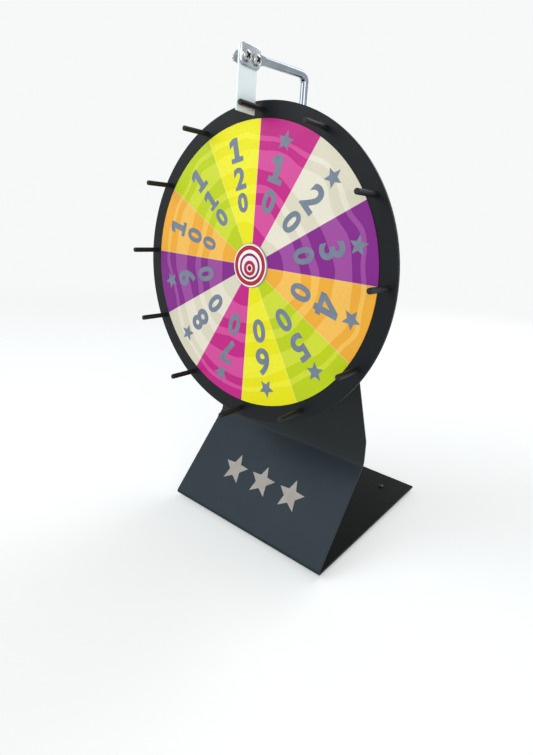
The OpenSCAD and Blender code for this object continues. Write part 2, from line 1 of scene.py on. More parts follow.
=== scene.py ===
from math import atan2, cos, pi, radians, sin, tan

import bmesh
import bpy
from mathutils import Matrix, Vector


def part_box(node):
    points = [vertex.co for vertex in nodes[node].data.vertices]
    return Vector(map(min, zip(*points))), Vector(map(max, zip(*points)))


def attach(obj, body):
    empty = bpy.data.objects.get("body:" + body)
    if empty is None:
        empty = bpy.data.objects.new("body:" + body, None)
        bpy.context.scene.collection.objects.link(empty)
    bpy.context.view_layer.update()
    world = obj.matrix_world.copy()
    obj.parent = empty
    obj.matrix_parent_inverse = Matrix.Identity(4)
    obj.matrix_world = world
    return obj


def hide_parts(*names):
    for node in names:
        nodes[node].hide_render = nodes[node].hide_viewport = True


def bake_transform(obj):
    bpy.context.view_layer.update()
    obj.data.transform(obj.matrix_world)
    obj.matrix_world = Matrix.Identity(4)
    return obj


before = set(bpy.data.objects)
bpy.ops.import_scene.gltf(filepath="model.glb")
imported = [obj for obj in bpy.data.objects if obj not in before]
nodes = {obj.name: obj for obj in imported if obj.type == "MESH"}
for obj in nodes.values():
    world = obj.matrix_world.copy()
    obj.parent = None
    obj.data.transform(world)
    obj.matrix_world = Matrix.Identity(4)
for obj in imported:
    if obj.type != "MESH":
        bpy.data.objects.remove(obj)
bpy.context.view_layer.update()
pegNames = sorted(name for name in nodes if name.startswith("peg_") and name != "peg_screws")
footNames = ["front_left_foot", "front_right_foot", "rear_left_foot", "rear_right_foot"]


def middleOf(name):
    low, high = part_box(name)
    return (low + high) / 2


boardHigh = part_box("wheel_board")[1]
dialLow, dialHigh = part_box("dial_face")
axleZ = middleOf("wheel_board").z
dialFaceY = dialLow.y
dialRadius = (dialHigh.x - dialLow.x) / 2
sectorCount = len(pegNames)
sectorAngle = 2 * pi / sectorCount
topPeg = middleOf("peg_01")
restTurn = atan2(topPeg.x, topPeg.z - axleZ)  # clockwise from straight up
print("frame loaded:", len(nodes), "nodes, axle at", round(axleZ, 4))


# selecting and editing

def onlySelect(*objs):
    if bpy.context.object and bpy.context.object.mode != "OBJECT":
        bpy.ops.object.mode_set(mode="OBJECT")
    bpy.ops.object.select_all(action="DESELECT")
    for obj in objs:
        obj.select_set(True)
    if objs:
        bpy.context.view_layer.objects.active = objs[0]


def editOn(obj):
    onlySelect(obj)
    bpy.ops.object.mode_set(mode="EDIT")


def editOff():
    bpy.ops.object.mode_set(mode="OBJECT")


def pick(obj, kind, test):
    bpy.ops.mesh.select_mode(type=kind)
    bpy.ops.mesh.select_all(action="DESELECT")
    mesh = bmesh.from_edit_mesh(obj.data)
    for item in {"VERT": mesh.verts, "EDGE": mesh.edges, "FACE": mesh.faces}[kind]:
        if test(item):
            item.select_set(True)
    mesh.select_flush_mode()
    bmesh.update_edit_mesh(obj.data)


def pull(move):
    bpy.ops.mesh.extrude_region_move(TRANSFORM_OT_translate={"value": move})


def resize(value, centre=(0, 0, 0)):
    bpy.ops.transform.resize(value=value, center_override=centre)


def cutAcross(place, outward, **settings):
    bpy.ops.mesh.select_all(action="SELECT")
    bpy.ops.mesh.bisect(plane_co=place, plane_no=outward, **settings)


def applyPlace(obj):
    onlySelect(obj)
    bpy.ops.object.transform_apply(location=True, rotation=True, scale=True)


def placed(obj, place):
    obj.matrix_world = place
    applyPlace(obj)
    return obj


def addBox(size, middle=(0, 0, 0), turn=0.0):
    onlySelect()
    bpy.ops.mesh.primitive_cube_add(size=1, location=middle, rotation=(0, 0, turn))
    box = bpy.context.object
    box.scale = size
    applyPlace(box)
    return box


def modify(obj, kind, **settings):
    onlySelect(obj)
    step = obj.modifiers.new(kind.lower(), kind)
    for key, value in settings.items():
        setattr(step, key, value)
    bpy.ops.object.modifier_apply(modifier=step.name)


def remove(obj):
    onlySelect(obj)
    bpy.ops.object.delete()


def cutWith(obj, cutter, operation="DIFFERENCE"):
    # a bare cutter leaves the piece's own finish on the cut
    finish = "TRANSFER" if cutter.data.materials else "INDEX"
    modify(obj, "BOOLEAN", object=cutter, operation=operation, solver="EXACT", material_mode=finish)
    remove(cutter)


def closeUp(obj):
    editOn(obj)
    bpy.ops.mesh.select_all(action="SELECT")
    bpy.ops.mesh.remove_doubles(threshold=1e-6)
    bpy.ops.mesh.normals_make_consistent(inside=False)
    editOff()


def dropSlivers(obj):
    editOn(obj)
    bpy.ops.mesh.select_all(action="SELECT")
    bpy.ops.mesh.dissolve_degenerate(threshold=1e-5)
    editOff()
    closeUp(obj)


def easeEdges(obj, width, segments, angle, material=-1):
    modify(obj, "BEVEL", width=width, segments=segments, limit_method="ANGLE",
           angle_limit=radians(angle), material=material)


def joinAll(objs):
    onlySelect(*objs)
    bpy.ops.object.join()
    return bpy.context.object


def dress(obj, name, material, body=None, hides=(), smooth=35):
    obj.name = name
    obj.data.name = name
    if material:
        obj.data.materials.clear()
        obj.data.materials.append(material)
    onlySelect(obj)
    bpy.ops.object.shade_smooth_by_angle(angle=radians(smooth))
    if hides:
        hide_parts(*hides)
    if body:
        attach(obj, body)
    return obj


def paintNodes(material, *names):
    for name in names:
        for place in nodes[name].material_slots:
            place.material = material


# node helpers for the materials

def tone(red, green, blue):  # screen colour to the linear colour that a socket takes
    def straight(c):
        c /= 255
        return c / 12.92 if c <= 0.04045 else ((c + 0.055) / 1.055) ** 2.4
    return (straight(red), straight(green), straight(blue), 1)


def startMaterial(name, **sockets):
    material = bpy.data.materials.new(name)
    material.use_nodes = True
    shader = material.node_tree.nodes["Principled BSDF"]
    for key, value in sockets.items():
        shader.inputs[key.replace("_", " ")].default_value = value
    return material, material.node_tree, shader


def addNode(tree, kind, settings=None, **inputs):
    made = tree.nodes.new(kind)
    for key, value in (settings or {}).items():
        setattr(made, key, value)
    for key, value in inputs.items():
        made.inputs[key].default_value = value
    return made


def feed(tree, socket, value):  # a plain value is set, an output is linked
    if isinstance(value, (int, float, tuple)):
        socket.default_value = value
    else:
        tree.links.new(value, socket)


def calc(tree, operation, first, second=None):
    made = addNode(tree, "ShaderNodeMath", {"operation": operation})
    feed(tree, made.inputs[0], first)
    if second is not None:
        feed(tree, made.inputs[1], second)
    return made.outputs[0]


def distance(tree, first, second):
    squares = [calc(tree, "POWER", side, 2) for side in (first, second)]
    return calc(tree, "SQRT", calc(tree, "ADD", *squares))


def objectPlace(tree):
    return addNode(tree, "ShaderNodeTexCoord").outputs["Object"]


def objectAxes(tree):
    parts = addNode(tree, "ShaderNodeSeparateXYZ")
    tree.links.new(objectPlace(tree), parts.inputs[0])
    return parts.outputs


def stretched(tree, scale):
    mapping = addNode(tree, "ShaderNodeMapping", Scale=scale)
    tree.links.new(objectPlace(tree), mapping.inputs["Vector"])
    return mapping.outputs[0]


def cloud(tree, scale, detail=3, place=None):
    noise = addNode(tree, "ShaderNodeTexNoise", Scale=scale, Detail=detail, Roughness=0.55)
    tree.links.new(place or objectPlace(tree), noise.inputs["Vector"])
    return noise.outputs["Fac"]


def ramp(tree, factor, stops, stepped=False):
    made = addNode(tree, "ShaderNodeValToRGB")
    band = made.color_ramp
    band.interpolation = "CONSTANT" if stepped else "LINEAR"
    while len(band.elements) < len(stops):
        band.elements.new(1)
    for element, (position, colour) in zip(band.elements, stops):
        element.position = position
        element.color = colour
    tree.links.new(factor, made.inputs[0])
    return made.outputs[0]


def twoTone(tree, factor, dark, light, start=0.25, end=0.75):
    return ramp(tree, factor, [(start, tone(*dark)), (end, tone(*light))])


def mixColour(tree, factor, first, second, blend="MIX"):
    made = addNode(tree, "ShaderNodeMix", {"data_type": "RGBA", "blend_type": blend})
    factorIn, firstIn, secondIn = made.inputs[0], made.inputs[6], made.inputs[7]  # the colour sockets
    for socket, value in ((factorIn, factor), (firstIn, first), (secondIn, second)):
        feed(tree, socket, value)
    return made.outputs[2]


def spread(tree, factor, low, high, fromLow=0.3, fromHigh=0.7, interpolation="LINEAR"):
    made = addNode(tree, "ShaderNodeMapRange", {"interpolation_type": interpolation})
    made.inputs["From Min"].default_value = fromLow
    made.inputs["From Max"].default_value = fromHigh
    made.inputs["To Min"].default_value = low
    made.inputs["To Max"].default_value = high
    tree.links.new(factor, made.inputs["Value"])
    return made.outputs[0]


def roughen(tree, shader, factor, low, high):
    tree.links.new(spread(tree, factor, low, high), shader.inputs["Roughness"])


def emboss(tree, shader, height, strength, depth=0.0002):
    bump = addNode(tree, "ShaderNodeBump", Strength=strength, Distance=depth)
    tree.links.new(height, bump.inputs["Height"])
    tree.links.new(bump.outputs[0], shader.inputs["Normal"])


def colourFrom(tree, shader, colour):
    tree.links.new(colour, shader.inputs["Base Color"])


# satin coat of the bent sheet: fine orange peel, faint cloudy patches, a painted teal-dark reflection along
# the front bend and painted light in the tone below the fold
coatPaintedLight = {
    "bendAt": (-0.0881, 0.006),  # y and z of a line along the outside of the bend
    # the painted reflection line along the front bend: its core, its reach and its colour
    "core": 0.00108, "reach": 0.0036, "colour": (30, 46, 45),
    # below the fold the outer coat gets a painted bluish sky sheen and the inner coat painted shade
    "foldFrom": 0.074, "foldTo": 0.1,  # heights between which the lower tone gives way to the upper one
}


def makeCoat(name, below, above, gloss):
    p = coatPaintedLight
    material, tree, shader = startMaterial(name, Specular_IOR_Level=gloss)
    patches = cloud(tree, 9)
    # below the fold: painted bluish sheen on the outer coat, painted shade on the inner coat; above it the
    # coat's plain tone
    lower = twoTone(tree, patches, *below, start=0.3, end=0.7)
    upper = twoTone(tree, patches, *above, start=0.3, end=0.7)
    axes = objectAxes(tree)
    rise = spread(tree, axes["Z"], 0.0, 1.0, p["foldFrom"], p["foldTo"])
    bendY, bendZ = p["bendAt"]
    gap = distance(tree, calc(tree, "SUBTRACT", axes["Y"], bendY), calc(tree, "SUBTRACT", axes["Z"], bendZ))
    nearBend = spread(tree, gap, 1.0, 0.0, p["core"], p["reach"])
    # painted teal-dark reflection along the outside of the front bend
    streaksAndBendReflection = calc(tree, "MULTIPLY", nearBend, spread(tree, cloud(tree, 60, detail=4), 0.3, 0.9))
    colourFrom(tree, shader, mixColour(tree, streaksAndBendReflection, mixColour(tree, rise, lower, upper), tone(*p["colour"])))
    roughen(tree, shader, cloud(tree, 40), 0.26, 0.36)
    emboss(tree, shader, cloud(tree, 1500, detail=2), 0.07, depth=0.0003)
    return material


# board of the wheel: satin, faintly blotched
def makeBoard():
    material, tree, shader = startMaterial("boardBlack", Specular_IOR_Level=0.17)
    colourFrom(tree, shader, twoTone(tree, cloud(tree, 18, detail=4), (16, 20, 23), (21, 25, 28)))
    roughen(tree, shader, cloud(tree, 60), 0.44, 0.54)
    emboss(tree, shader, cloud(tree, 1900, detail=2), 0.06, depth=0.0003)
    return material


# pegs: scuffed along their length
def makePegPlastic():
    material, tree, shader = startMaterial("pegPlastic", Specular_IOR_Level=0.3)
    scuff = cloud(tree, 1, detail=5, place=stretched(tree, (900, 60, 900)))
    colourFrom(tree, shader, twoTone(tree, scuff, (17, 18, 19), (27, 28, 30), start=0.3, end=0.8))
    roughen(tree, shader, scuff, 0.48, 0.62)
    emboss(tree, shader, scuff, 0.05)
    return material


def makeRubber():
    material, tree, shader = startMaterial("footRubber", Specular_IOR_Level=0.35)
    grain = cloud(tree, 700, detail=4)
    colourFrom(tree, shader, twoTone(tree, cloud(tree, 90), (24, 24, 24), (36, 36, 35), start=0.3, end=0.7))
    roughen(tree, shader, grain, 0.68, 0.85)
    emboss(tree, shader, grain, 0.25, depth=0.0003)
    return material


# plated and bare metals share one recipe: smudged polish, fine lines along the working direction
def makeMetal(name, dark, light, rough, lines, lineDepth):
    material, tree, shader = startMaterial(name, Metallic=1.0)
    colourFrom(tree, shader, twoTone(tree, cloud(tree, 70, detail=4), dark, light))
    roughen(tree, shader, cloud(tree, 160, detail=4), *rough)
    emboss(tree, shader, cloud(tree, 1, detail=4, place=stretched(tree, lines)), lineDepth)
    return material


# places on the wheel, seen from its front
def axleRadius(tree, dropZ=0.0):
    axes = objectAxes(tree)
    return distance(tree, axes["X"], calc(tree, "SUBTRACT", axes["Z"], axleZ + dropZ))


def axleAngle(tree):  # clockwise from the top peg
    axes = objectAxes(tree)
    rise = calc(tree, "SUBTRACT", axes["Z"], axleZ)
    return calc(tree, "SUBTRACT", calc(tree, "ARCTAN2", axes["X"], rise), restTurn)


# turned metal: fine rings round the axle
def makeTurned(name, dark, light, ringsPerMetre):
    material, tree, shader = startMaterial(name, Metallic=1.0)
    noise = addNode(tree, "ShaderNodeTexNoise", {"noise_dimensions": "1D"}, Scale=1.0, Detail=4.0)
    tree.links.new(calc(tree, "MULTIPLY", axleRadius(tree), ringsPerMetre), noise.inputs["W"])
    rings = noise.outputs["Fac"]
    colourFrom(tree, shader, twoTone(tree, rings, dark, light, start=0.2, end=0.8))
    roughen(tree, shader, rings, 0.24, 0.42)
    emboss(tree, shader, rings, 0.12)
    return material


# dial print: sector colours by angle, each with a paler tint in gently waving bands
dialPrint = {
    "sectors": [  # clockwise from the top peg, gone through twice: full colour, paler tint
        ((190, 22, 128), (208, 72, 150)), ((214, 208, 186), (226, 220, 202)),
        ((126, 28, 132), (152, 70, 152)), ((234, 168, 50), (240, 187, 84)),
        ((184, 203, 4), (203, 215, 48)), ((230, 224, 0), (236, 231, 44)),
    ],
    "bands": [  # from this share of the radius outwards: 0 full colour, 1 paler tint
        (0.0, 0), (0.28, 1), (0.42, 0), (0.5, 1), (0.56, 0), (0.67, 1), (0.8, 0), (0.865, 1), (0.9, 0),
    ],
    "wave": 0.03, "waveCount": 3, "drift": 0.045,
    "line": 0.0003, "lineColour": (238, 224, 226), "lineShow": 0.25,
    "uneven": (0.97, 1.03),
}


def makeDialPrint():
    p = dialPrint
    material, tree, shader = startMaterial("dialPrint", Specular_IOR_Level=0.25)
    angle = axleAngle(tree)
    radius = axleRadius(tree)
    share = calc(tree, "DIVIDE", radius, dialRadius)
    swing = calc(tree, "SINE", calc(tree, "MULTIPLY", angle, p["waveCount"]))
    wave = calc(tree, "MULTIPLY", swing, p["wave"])
    drift = spread(tree, cloud(tree, 16, detail=1), -p["drift"], p["drift"])
    bandAt = calc(tree, "ADD", calc(tree, "ADD", share, wave), drift)
    band = ramp(tree, bandAt, [(at, (pale, pale, pale, 1)) for at, pale in p["bands"]], stepped=True)

    turn = calc(tree, "FRACT", calc(tree, "DIVIDE", angle, 2 * pi))
    passed = calc(tree, "MULTIPLY", turn, sectorCount)  # sectors passed since the top peg
    sector = calc(tree, "DIVIDE", calc(tree, "ADD", calc(tree, "FLOOR", passed), 0.5), sectorCount)
    inks = []
    for tint in range(2):
        colours = [tone(*pair[tint]) for pair in p["sectors"]]
        stops = [(i / sectorCount, colours[i % len(colours)]) for i in range(sectorCount)]
        inks.append(ramp(tree, sector, stops, stepped=True))
    colour = mixColour(tree, band, *inks)

    fromMiddle = calc(tree, "ABSOLUTE", calc(tree, "SUBTRACT", calc(tree, "FRACT", passed), 0.5))
    toEdge = calc(tree, "MULTIPLY", calc(tree, "SUBTRACT", 0.5, fromMiddle), sectorAngle)
    onLine = calc(tree, "LESS_THAN", calc(tree, "MULTIPLY", toEdge, radius), p["line"])
    colour = mixColour(tree, calc(tree, "MULTIPLY", onLine, p["lineShow"]), colour, tone(*p["lineColour"]))

    grain = spread(tree, cloud(tree, 420), *p["uneven"])
    fade = spread(tree, cloud(tree, 11, detail=2), *p["uneven"])
    both = calc(tree, "MULTIPLY", grain, fade)
    shade = addNode(tree, "ShaderNodeCombineColor")
    for socket in shade.inputs[:3]:
        tree.links.new(both, socket)
    colourFrom(tree, shader, mixColour(tree, 1.0, colour, shade.outputs[0], "MULTIPLY"))
    roughen(tree, shader, cloud(tree, 30), 0.34, 0.46)
    emboss(tree, shader, cloud(tree, 1100, detail=2), 0.03)
    return material


# cap print: rings of red and white, the thin ring and the middle disc printed a little low
capPrint = {
    "rings": [  # from this share of the radius outwards
        (0.0, (240, 226, 240)), (0.48, (120, 16, 56)), (0.595, (246, 236, 244)),
        (0.71, (168, 14, 32)), (0.905, (246, 240, 242)), (0.965, (150, 148, 154)),
    ],
    "disc": [(0.0, (88, 10, 52)), (0.11, (248, 198, 214)), (0.18, (162, 12, 38))],
    "discSize": 0.34, "discDrop": -0.0024,
    "lowSize": 0.65, "drop": -0.0008,
    "wobble": 0.006, "dust": (222, 210, 214), "dustShow": 0.03,
}


def makeCapPrint():
    p = capPrint
    material, tree, shader = startMaterial(
        "capPrint", Specular_IOR_Level=0.25, Coat_Weight=0.1, Coat_Roughness=0.15)
    capLow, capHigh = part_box("hub_cap")
    capRadius = (capHigh.x - capLow.x) / 2
    wobble = spread(tree, cloud(tree, 120, detail=2), -p["wobble"], p["wobble"])
    shares = []
    for drop in (0.0, p["drop"], p["discDrop"]):
        shares.append(calc(tree, "ADD", calc(tree, "DIVIDE", axleRadius(tree, drop), capRadius), wobble))
    outerShare, lowShare, discShare = shares
    inLow = calc(tree, "LESS_THAN", outerShare, p["lowSize"])
    lowPart = calc(tree, "MULTIPLY", inLow, lowShare)
    outerPart = calc(tree, "MULTIPLY", calc(tree, "SUBTRACT", 1, inLow), outerShare)
    ringShare = calc(tree, "ADD", lowPart, outerPart)
    rings = ramp(tree, ringShare, [(at, tone(*colour)) for at, colour in p["rings"]], stepped=True)
    disc = ramp(tree, discShare, [(at, tone(*colour)) for at, colour in p["disc"]], stepped=True)
    printed = mixColour(tree, calc(tree, "LESS_THAN", discShare, p["discSize"]), rings, disc)
    dust = spread(tree, cloud(tree, 260), 0.0, p["dustShow"])
    colourFrom(tree, shader, mixColour(tree, dust, printed, tone(*p["dust"])))
    roughen(tree, shader, cloud(tree, 50), 0.26, 0.38)
    emboss(tree, shader, cloud(tree, 1000, detail=2), 0.02)
    return material


def makeInk(name, dark, light):
    material, tree, shader = startMaterial(name, Specular_IOR_Level=0.4)
    colourFrom(tree, shader, twoTone(tree, cloud(tree, 95, detail=4), dark, light))
    roughen(tree, shader, cloud(tree, 60), 0.36, 0.5)
    emboss(tree, shader, cloud(tree, 1400, detail=2), 0.05)
    return material


# pale strip: darker and greener towards the end that meets the pegs, streaked along its length
def makeStrip():
    tipLength = 0.012
    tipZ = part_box("flapper_blade")[0].z
    material, tree, shader = startMaterial("flapperStrip", Specular_IOR_Level=0.45)
    tipBlend = spread(tree, objectAxes(tree)["Z"], 1.0, 0.0, tipZ, tipZ + tipLength)
    streaksAndBendReflection = cloud(tree, 1, detail=5, place=stretched(tree, (300, 140, 900)))
    base = twoTone(tree, cloud(tree, 60), (228, 241, 243), (236, 246, 248))
    tipTones = twoTone(tree, streaksAndBendReflection, (206, 226, 214), (224, 240, 231), start=0.3, end=0.7)
    colourFrom(tree, shader, mixColour(tree, tipBlend, base, tipTones))
    roughen(tree, shader, streaksAndBendReflection, 0.34, 0.52)
    emboss(tree, shader, streaksAndBendReflection, 0.06)
    return material


# the outer coat's lower tone is a painted bluish sky sheen on the panel
blackCoat = makeCoat("blackCoat", ((47, 57, 65), (51, 61, 69)), ((45, 49, 49), (49, 53, 53)), 0.07)
# the inner side is painted darker below the fold: painted shade on the base and under the panel
innerCoatPaintedShade = makeCoat("innerCoatPaintedShade", ((20, 22, 22), (24, 26, 26)), ((42, 45, 46), (48, 51, 52)), 0.03)
coatEdge = makeCoat("coatEdge", ((36, 41, 43), (50, 55, 57)), ((36, 40, 40), (50, 54, 54)), 0.1)
boardBlack = makeBoard()
pegPlastic = makePegPlastic()
footRubber = makeRubber()
rodChrome = makeMetal("rodChrome", (130, 138, 146), (156, 163, 171), (0.07, 0.17), (900, 40, 900), 0.03)
plateChrome = makeMetal("plateChrome", (150, 156, 162), (192, 197, 202), (0.1, 0.2), (420, 420, 420), 0.5)
screwPlate = makeMetal("screwPlate", (150, 153, 152), (196, 198, 196), (0.1, 0.2), (500, 500, 500), 0.05)
zincSteel = makeMetal("zincSteel", (112, 118, 124), (146, 152, 158), (0.28, 0.45), (420, 420, 420), 0.07)
bearingSteel = makeMetal(
    "bearingSteel", (178, 182, 188), (204, 207, 212), (0.12, 0.22), (700, 700, 700), 0.03)
cageBrass = makeMetal("cageBrass", (176, 138, 70), (204, 168, 96), (0.25, 0.4), (500, 500, 500), 0.05)
# dark recess colour: painted shade in the screws' cross recesses
recessPaintedShade = makeMetal("recessPaintedShade", (34, 35, 37), (58, 59, 62), (0.45, 0.6), (500, 500, 500), 0.06)
blackSteel = makeMetal("blackSteel", (52, 53, 56), (70, 71, 74), (0.35, 0.5), (500, 500, 500), 0.06)
turnedAluminium = makeTurned("turnedAluminium", (178, 181, 184), (208, 210, 212), 2600)
milledAluminium = makeMetal(
    "milledAluminium", (170, 174, 178), (198, 201, 204), (0.3, 0.46), (60, 700, 700), 0.08)
dialFilm = makeDialPrint()
capFilm = makeCapPrint()
numberInk = makeInk("numberInk", (102, 115, 132), (116, 129, 146))
starInk = makeInk("starInk", (160, 152, 144), (174, 167, 159))
stripPale = makeStrip()

paintNodes(boardBlack, "wheel_board")
paintNodes(dialFilm, "dial_face")
paintNodes(capFilm, "hub_cap")
paintNodes(pegPlastic, *pegNames)
paintNodes(turnedAluminium, "hub")
paintNodes(zincSteel, "axle_bolt", "axle_washers", "axle_nut", "axle_spacer", "race_spacer", "hub_screws")
for end in ("front", "rear"):
    paintNodes(bearingSteel, end + "_inner_race", end + "_outer_race", end + "_balls")
    paintNodes(cageBrass, end + "_ball_cage")
paintNodes(blackSteel, "arm_set_screw")
print("materials ready:", len(bpy.data.materials))


# bent sheet stand, drawn on the middle of the sheet and thickened at the end
bentSheet = {
    "thick": 0.002, "width": 0.2, "topWidth": 0.076,
    "bendAt": (-0.08525, 0.007), "bendRadius": 0.002, "bendSteps": 16,  # centre of the front bend in y and z
    "foldAt": (-0.03225, 0.094331), "foldRadius": 0.013, "foldSteps": 14,  # the same, below the upright
    "panelAngle": 50.303, "taperFrom": 0.113, "topCorner": 0.014, "rearCorner": 0.0015, "edge": 0.0005,
}


def makeStand():
    p = bentSheet
    low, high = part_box("stand_sheet")
    near = 0.001  # how close to an edge its corners are picked
    bendY, bendZ = p["bendAt"]
    foldY, foldZ = p["foldAt"]
    lean = radians(p["panelAngle"])
    onlySelect()
    bpy.ops.mesh.primitive_plane_add(size=1, location=(0, (bendY + high.y) / 2, low.z + p["thick"] / 2))
    stand = bpy.context.object
    stand.scale = (p["width"], high.y - bendY, 1)
    applyPlace(stand)
    editOn(stand)
    pick(stand, "VERT", lambda v: v.co.y < bendY + near)
    bpy.ops.mesh.spin(steps=p["bendSteps"], angle=pi - lean, center=(0, bendY, bendZ), axis=(1, 0, 0))
    start = (bendY - p["bendRadius"] * sin(lean), bendZ + p["bendRadius"] * cos(lean))
    end = (foldY + p["foldRadius"] * sin(lean), foldZ - p["foldRadius"] * cos(lean))
    pull((0, end[0] - start[0], end[1] - start[1]))
    bpy.ops.mesh.spin(steps=p["foldSteps"], angle=pi / 2 - lean, center=(0, foldY, foldZ), axis=(-1, 0, 0))
    pull((0, 0, p["taperFrom"] - foldZ))
    pull((0, 0, high.z - p["taperFrom"]))
    resize((p["topWidth"] / p["width"], 1, 1), (0, 0, high.z))
    slope = atan2((p["width"] - p["topWidth"]) / 2, high.z - p["taperFrom"])
    pick(stand, "VERT", lambda v: v.co.z > high.z - near)
    bpy.ops.mesh.bevel(offset=p["topCorner"] * tan((pi / 2 - slope) / 2), segments=12, affect="VERTICES")
    pick(stand, "VERT", lambda v: v.co.y > high.y - near)
    bpy.ops.mesh.bevel(offset=p["rearCorner"], segments=6, affect="VERTICES")
    editOff()
    closeUp(stand)
    for coat in (blackCoat, innerCoatPaintedShade, coatEdge):
        stand.data.materials.append(coat)
    modify(stand, "SOLIDIFY", thickness=p["thick"], offset=0, use_even_offset=True, material_offset=1)
    easeEdges(stand, p["edge"], 3, 50, material=2)
    dress(stand, "bentStand", None, "stand", ["stand_sheet"], 40)
    modify(stand, "WEIGHTED_NORMAL", keep_sharp=True, weight=80)
    return stand


stand = makeStand()
print("stand sheet made:", len(stand.data.polygons), "faces")


# feet: turned rubber cones with an eased rim and a grip groove
footShape = {
    "flare": 0.001, "ease": 0.0007, "grooveDeep": 0.0006,
    "grooveFrom": 0.3, "grooveAt": 0.45, "grooveTo": 0.6,  # shares of the height
}


def makeFoot(name):
    p = footShape
    low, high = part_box(name)
    middle = (low + high) / 2
    topRadius = (high.x - low.x) / 2
    height = high.z - low.z
    onlySelect()
    bpy.ops.mesh.primitive_cone_add(
        vertices=56, radius1=topRadius - p["flare"], radius2=topRadius, depth=height, location=middle)
    foot = bpy.context.object
    applyPlace(foot)
    editOn(foot)
    for share in (p["grooveFrom"], p["grooveAt"], p["grooveTo"]):
        cutAcross((0, 0, low.z + share * height), (0, 0, 1))
    grooveZ = low.z + p["grooveAt"] * height
    pick(foot, "VERT", lambda v: abs(v.co.z - grooveZ) < 1e-5)
    shrink = 1 - p["grooveDeep"] / topRadius
    resize((shrink, shrink, 1), middle)
    editOff()
    easeEdges(foot, p["ease"], 3, 60)
    title = name.replace("_foot", "RubberFoot")
    return dress(foot, title, footRubber, "stand", [name], 50)


for name in footNames:
    makeFoot(name)
print("feet made:", len(footNames))


# round-head screws with a cross recess, drawn along +Z with the seat of the head at the origin
screwShape = {
    "profile": [  # the head's side from its seat up: shares of its radius and height
        (1.0, 0.28), (0.95, 0.52), (0.84, 0.74), (0.66, 0.89), (0.42, 0.97), (0.18, 1.0),
    ],
    "pitch": 0.0005, "ridge": 0.08,
    "bladeLong": 1.6, "bladeWide": 0.42, "bladeDeep": 1.1, "bladeAt": 1.02,  # shares of the radius and height
    "bladeFoot": (0.6, 0.5, 1), "ease": 0.018,
}


def makeRecess(headRadius, headHeight):
    p = screwShape
    blades = []
    for angle in (45, 135):
        size = (headRadius * p["bladeLong"], headRadius * p["bladeWide"], headHeight * p["bladeDeep"])
        blade = addBox(size, (0, 0, headHeight * p["bladeAt"]), radians(angle))
        editOn(blade)
        pick(blade, "VERT", lambda v: v.co.z < headHeight)
        resize(p["bladeFoot"])
        editOff()
        # the recess is coloured dark: painted shade
        blade.data.materials.append(recessPaintedShade)
        blades.append(blade)
    cutWith(blades[0], blades[1], "UNION")
    return blades[0]


def makeScrew(material, headRadius, headHeight, shankRadius, shankLength, threadTail=0.0):
    p = screwShape
    onlySelect()
    bpy.ops.mesh.primitive_circle_add(vertices=48, radius=headRadius, fill_type="NGON")
    screw = bpy.context.object
    editOn(screw)
    bpy.ops.mesh.select_all(action="SELECT")
    lastShare, lastHeight = 1.0, 0.0
    for share, height in p["profile"]:
        pull((0, 0, (height - lastHeight) * headHeight))
        resize((share / lastShare, share / lastShare, 1), (0, 0, height * headHeight))
        lastShare, lastHeight = share, height
    pick(screw, "FACE", lambda f: len(f.verts) > 8 and f.calc_center_median().z < 1e-6)
    bpy.ops.mesh.inset(thickness=headRadius - shankRadius)
    pull((0, 0, threadTail - shankLength))
    for turn in range(int(threadTail / p["pitch"])):  # thread ridges on the free end
        size = 1 - p["ridge"] if turn % 2 == 0 else 1 / (1 - p["ridge"])
        pull((0, 0, -p["pitch"]))
        resize((size, size, 1))
    editOff()
    closeUp(screw)
    screw.data.materials.append(material)
    cutWith(screw, makeRecess(headRadius, headHeight))
    dropSlivers(screw)
    easeEdges(screw, headRadius * p["ease"], 2, 50)
    closeUp(screw)
    return screw


def setOut(name, master, places, body, hides):
    copies = []
    for place in places:
        onlySelect(master)
        bpy.ops.object.duplicate()
        copies.append(placed(bpy.context.object, place))
    remove(master)
    return dress(joinAll(copies), name, None, body, hides, 38)


alongX = Matrix.Rotation(radians(90), 4, "Y")
alongY = Matrix.Rotation(radians(-90), 4, "X")

footScrew = {"headRadius": 0.00285, "headHeight": 0.00195, "shankRadius": 0.0015, "shankLength": 0.005}
blockScrew = {"headRadius": 0.00475, "headHeight": 0.00325, "shankRadius": 0.0025, "shankLength": 0.007}
pegScrew = {"headRadius": 0.00285, "headHeight": 0.00195, "shankRadius": 0.0015, "shankLength": 0.012}
clampScrew = {
    "headRadius": 0.00525, "headHeight": 0.003, "shankRadius": 0.003, "shankLength": 0.014,
    "threadTail": 0.004,  # free end behind the nut
}

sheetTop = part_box("stand_sheet")[0].z + bentSheet["thick"]
spots = []
for name in footNames:
    middle = middleOf(name)
    spots.append(Matrix.Translation((middle.x, middle.y, sheetTop)))
setOut("footScrews", makeScrew(blackSteel, **footScrew), spots,
       "stand", ["foot_screws"])

low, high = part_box("arm_block_screws")
spots = []
for spotZ in (low.z + blockScrew["headRadius"], high.z - blockScrew["headRadius"]):
    spots.append(Matrix.Translation((0, high.y - blockScrew["headHeight"], spotZ)) @ alongY)
setOut("blockScrews", makeScrew(zincSteel, **blockScrew), spots,
       "stand", ["arm_block_screws"])

spots = []
for name in pegNames:
    middle = middleOf(name)
    spots.append(Matrix.Translation((middle.x, boardHigh.y, middle.z)) @ alongY)
setOut("pegScrews", makeScrew(zincSteel, **pegScrew), spots,
       "wheel", ["peg_screws"])

low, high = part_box("flapper_screws")
clampZ = (low.z + high.z) / 2
clampYs = (low.y + clampScrew["headRadius"], high.y - clampScrew["headRadius"])
seatX = high.x - clampScrew["headHeight"]
spots = [Matrix.Translation((seatX, spotY, clampZ)) @ alongX for spotY in clampYs]
setOut("clampScrews", makeScrew(screwPlate, **clampScrew), spots,
       "stand", ["flapper_screws"])
print("screws made")


# hexagon nuts with turned corners
clampNut = {"flats": 0.01, "height": 0.005, "bore": 0.0061, "corner": 0.0007, "edge": 0.00015}


